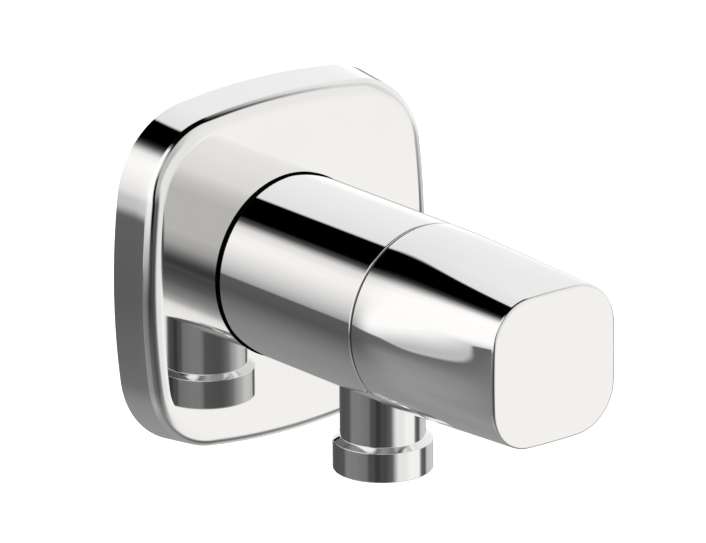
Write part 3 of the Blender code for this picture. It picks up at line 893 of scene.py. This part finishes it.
def light_behind(sky):
    """Softboxes on the wall's side; away from the wall, the black flag between them widens to the right."""
    widens_from, degrees_per_y, most_degrees = 0.65, 100.0, 18.0
    widening = sky.math("MAXIMUM", sky.minus(widens_from, sky.y), 0.0)
    widening = sky.math("MINIMUM", sky.times(widening, degrees_per_y), most_degrees)
    widening = sky.times(widening, sky.fade(sky.axis_angle, (115.0, 95.0)))
    near_share = sky.plus(sky.axis_share, sky.math("DIVIDE", widening, 360.0))
    near = sky.band(near_share, BEHIND_NEAR)
    far = sky.band(sky.axis_share, BEHIND_FAR)
    behind = sky.blend(sky.fade(sky.y, NEAR_Y), sky.band(sky.axis_share, BEHIND_ABOVE), near)
    return sky.blend(sky.fade(sky.y, FAR_Y), behind, far)


def light_below(sky):
    """Dark side under the softboxes: paler further down, and an even grey straight below."""
    below = sky.band(sky.plumb_share, BEHIND_BELOW, start=0.0)
    pales_from = 0.33
    depth = sky.math("MAXIMUM", sky.minus(sky.times(sky.z, -1.0), pales_from), 0.0)
    lift = sky.times(sky.math("POWER", depth, 1.2), 0.65)
    # A paler patch to the left.
    patch_rear, patch_front = (0.72, 0.62), (0.42, 0.56)
    patch_top, patch_right = (-0.25, -0.40), (0.0, -0.3)
    patch_light = 0.10
    patch = sky.times(sky.fade(sky.y, patch_rear), sky.fade(sky.z, patch_top))
    patch = sky.times(patch, sky.fade(sky.y, patch_front))
    patch = sky.times(patch, sky.fade(sky.x, patch_right))
    lift = sky.times_plus(patch, patch_light, lift)
    below = sky.blend(1.0, below, lift, "ADD")
    return sky.blend(sky.fade(sky.z, STRAIGHT_DOWN_Z), below, colour(linear(0.58)))


def over_foot(sky):
    """1 above the lower edge of the softboxes, which drops and softens away from the wall."""
    drops_from, slope, most_drop = 0.737, 0.4, 0.06
    step, step_y = 0.05, (0.645, 0.575)
    drop = sky.clamped(sky.times(sky.minus(drops_from, sky.y), slope), 0.0, most_drop)
    drop = sky.times_plus(sky.fade(sky.y, step_y), step, drop)
    over = sky.fade(sky.plus(sky.z, drop), FOOT_Z)
    soft_over = sky.fade(sky.z, SOFT_FOOT_Z)
    return sky.times_plus(sky.fade(sky.y, SOFT_FOOT_Y), sky.minus(soft_over, over), over)


def light_in_front(sky):
    """Cards in front, with an even one straight ahead."""
    cards = sky.band(sky.axis_share, IN_FRONT)
    slanted = sky.times_plus(sky.z, 0.8, sky.x)
    middle = sky.times(sky.fade(sky.y, MIDDLE_CARD_Y), sky.fade(slanted, MIDDLE_CARD_LEFT))
    return sky.blend(middle, cards, colour(linear(0.89)))


def front_border(sky):
    """Above 0 towards the wall, 0 at the front edge of the softboxes and below 0 in front.

    The edge lies further forward below the object than above it, but less so on the right.
    """
    most_reach = sky.times_plus(sky.times(sky.z, sky.z), -0.55, 0.80)
    reach = sky.math("MINIMUM", sky.times_plus(sky.z, -0.4, 0.6), most_reach)
    low_right = sky.times(sky.math("MAXIMUM", sky.x, 0.0), sky.fade(sky.z, (0.2, -0.2)))
    return sky.times_plus(low_right, -0.35, sky.plus(sky.y, reach))


def studio_world():
    """Softboxes, cards and flags round the object, as bands of light and dark by direction."""
    world = bpy.data.worlds.new("studio")
    bpy.context.scene.world = world
    world.use_nodes = True
    sky = Sky(world.node_tree)
    border = front_border(sky)
    back_half = sky.blend(over_foot(sky), light_below(sky), light_behind(sky))
    studio = sky.blend(sky.fade(border, FRONT), back_half, light_in_front(sky))
    darkened = sky.blend(1.0, studio, sky.band(sky.axis_share, GAP), "MULTIPLY")
    in_gap = sky.times(sky.fade(border, GAP_BACK), sky.fade(border, GAP_FRONT))
    studio = sky.blend(in_gap, studio, darkened)

    # Seen straight on, the backdrop is an even white.
    seen = sky.node("ShaderNodeLightPath").outputs["Is Camera Ray"]
    background = world.node_tree.nodes["Background"]
    sky.feed(background.inputs["Color"], sky.blend(seen, studio, colour(1.0)))


FLOOR_HEIGHT = -0.32           # metres, well below the object
FLOOR_RADIUS = 6.0


def make_floor():
    """Plain pale studio floor."""
    shape = bmesh.new()
    bmesh.ops.create_circle(shape, cap_ends=True, segments=SMALL_ROUND, radius=FLOOR_RADIUS)
    bmesh.ops.translate(shape, verts=shape.verts, vec=(0, 0, FLOOR_HEIGHT))
    mesh = bpy.data.meshes.new("studio_floor")
    shape.to_mesh(mesh)
    shape.free()
    material, g, shader = new_material("pale_floor")
    low, high = GRAIN_RANGE
    tone = g.ramp(noise(g, 3.0, 2.0), [(low, (0.90, 0.90, 0.90)), (high, (0.92, 0.92, 0.92))])
    g.feed(shader.inputs["Base Color"], tone)
    shader.inputs["Roughness"].default_value = 0.9
    mesh.materials.append(material)
    floor = linked("studio_floor", mesh)
    floor.visible_glossy = False


LAMP_SIZE = 3.0                # metres
LAMP_HEIGHT = 2.4
LAMP_POWER = 130.0             # watts


def make_light():
    """Large softbox overhead, for the pieces that aren't chrome and for the floor."""
    light = bpy.data.lights.new("overhead_softbox", "AREA")
    light.shape = "SQUARE"
    light.size = LAMP_SIZE
    light.energy = LAMP_POWER
    lamp = linked("overhead_softbox", light)
    lamp.location = (0.0, 0.0, LAMP_HEIGHT)
    lamp.visible_glossy = False
    lamp.visible_camera = False


AZIMUTH = -38.945              # degrees
ELEVATION = 18.642
ROLL = -0.398
CAMERA_DISTANCE = 1.4036       # metres, as the next four
FRAME_WIDTH = 0.11578          # width of the view at the object
MIDDLE = Vector((0.0, -0.023575, 0.0))
FRAME_RIGHT = 0.000841         # the frame's middle lies this far right of the object's middle
FRAME_UP = 0.00245
SENSOR_WIDTH = 36.0            # millimetres


def make_camera():
    azimuth, elevation = math.radians(AZIMUTH), math.radians(ELEVATION)
    level = math.cos(elevation)
    back = Vector((math.sin(azimuth) * level, -math.cos(azimuth) * level, math.sin(elevation)))
    right = (-back).cross(Vector((0, 0, 1))).normalized()
    up = right.cross(-back)
    roll = Matrix.Rotation(math.radians(ROLL), 3, back)
    right, up = roll @ right, roll @ up
    lens = bpy.data.cameras.new("camera")
    lens.sensor_width = SENSOR_WIDTH
    lens.lens = SENSOR_WIDTH * CAMERA_DISTANCE / FRAME_WIDTH
    lens.clip_start = 0.05
    lens.clip_end = 50.0
    camera = linked("camera", lens)
    basis = Matrix((right, up, back)).transposed()
    aim = MIDDLE + right * FRAME_RIGHT + up * FRAME_UP
    camera.matrix_world = Matrix.Translation(aim + back * CAMERA_DISTANCE) @ basis.to_4x4()
    bpy.context.scene.camera = camera


# ---------------------------------------------------------------- scene
make_camera()
studio_world()
make_floor()
make_light()
bpy.context.scene.view_settings.view_transform = "Standard"

MATERIALS = make_materials()
for subpart in frame["record"]["subparts"]:
    node_materials = frame["nodes"][subpart["node"]].data.materials
    node_materials.clear()
    node_materials.append(MATERIALS[subpart["material_slot"]])


def stand_for(piece, node, body, slot):
    """Let a piece take the place of a CAD node."""
    piece.data.materials.clear()
    piece.data.materials.append(MATERIALS[slot])
    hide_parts(node)
    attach(piece, body)
    return piece


plate = stand_for(make_escutcheon(), "escutcheon_plate", "escutcheon", "chrome")
stand_for(make_lip_seal(), "escutcheon_lip_seal", "escutcheon", "black_rubber")
stand_for(make_sleeve(), "body_sleeve", "valve", "chrome")
stand_for(make_outlet(), "outlet_nipple", "valve", "chrome")
brass_body = stand_for(make_valve_body(), "valve_body", "valve", "brass")
foam = stand_for(make_foam(), "wall_gasket", "escutcheon", "foam")
stand_for(make_inlet_seal(), "inlet_sealing_ring", "valve", "white_plastic")
stand_for(make_grub_screw(), "handle_grub_screw", "handle", "stainless_steel")
stand_for(make_bearing_ring(), "handle_bearing_ring", "valve", "black_plastic")
stand_for(make_handle(), "handle_shell", "handle", "chrome")

# The chrome reflects the studio, but not the plate and what lies behind it.
for piece in (plate, brass_body, foam):
    piece.visible_glossy = False
